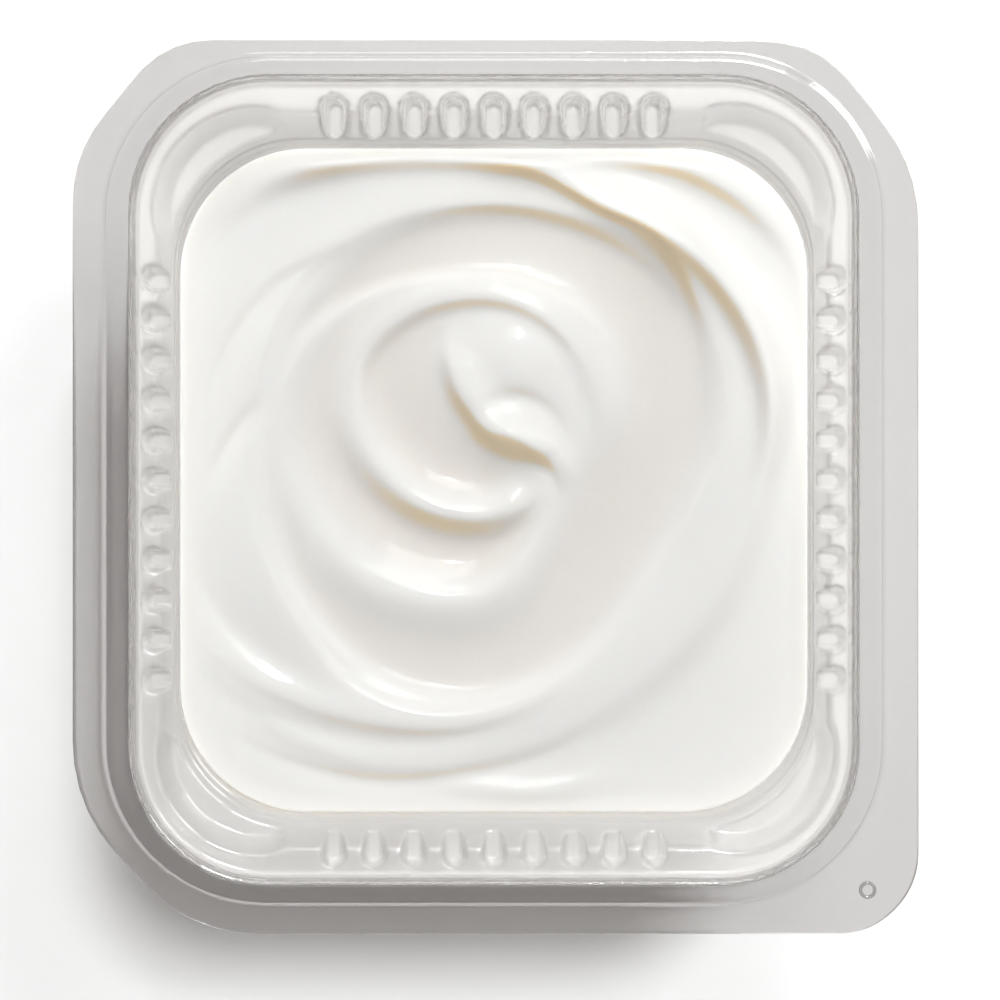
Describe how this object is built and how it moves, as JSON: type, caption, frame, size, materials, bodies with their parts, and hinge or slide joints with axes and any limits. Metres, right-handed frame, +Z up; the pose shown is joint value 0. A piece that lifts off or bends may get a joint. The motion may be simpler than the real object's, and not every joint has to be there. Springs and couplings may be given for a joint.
{
  "type": "yogurt pot",
  "caption": "Square clear thermoformed pot with a wide seal flange, peel corner, stacking shelf and wall pockets, filled with spoon-swirled plain yogurt.",
  "frame": {"origin": "on the surface the pot stands on, under the middle of the flange's outline", "axes": "+Z up out of the mouth, +Y towards the back edge, +X to the right; the peel corner is at +X, -Y"},
  "size_m": [0.0952, 0.1006, 0.056],
  "materials": {
    "clear_plastic": "clear glossy thermoformed sheet with fine scratches",
    "yogurt": "moist satin, cream white"
  },
  "bodies": {
    "root": {"pot": "clear_plastic", "yogurt": "yogurt"}
  },
  "joints": []
}
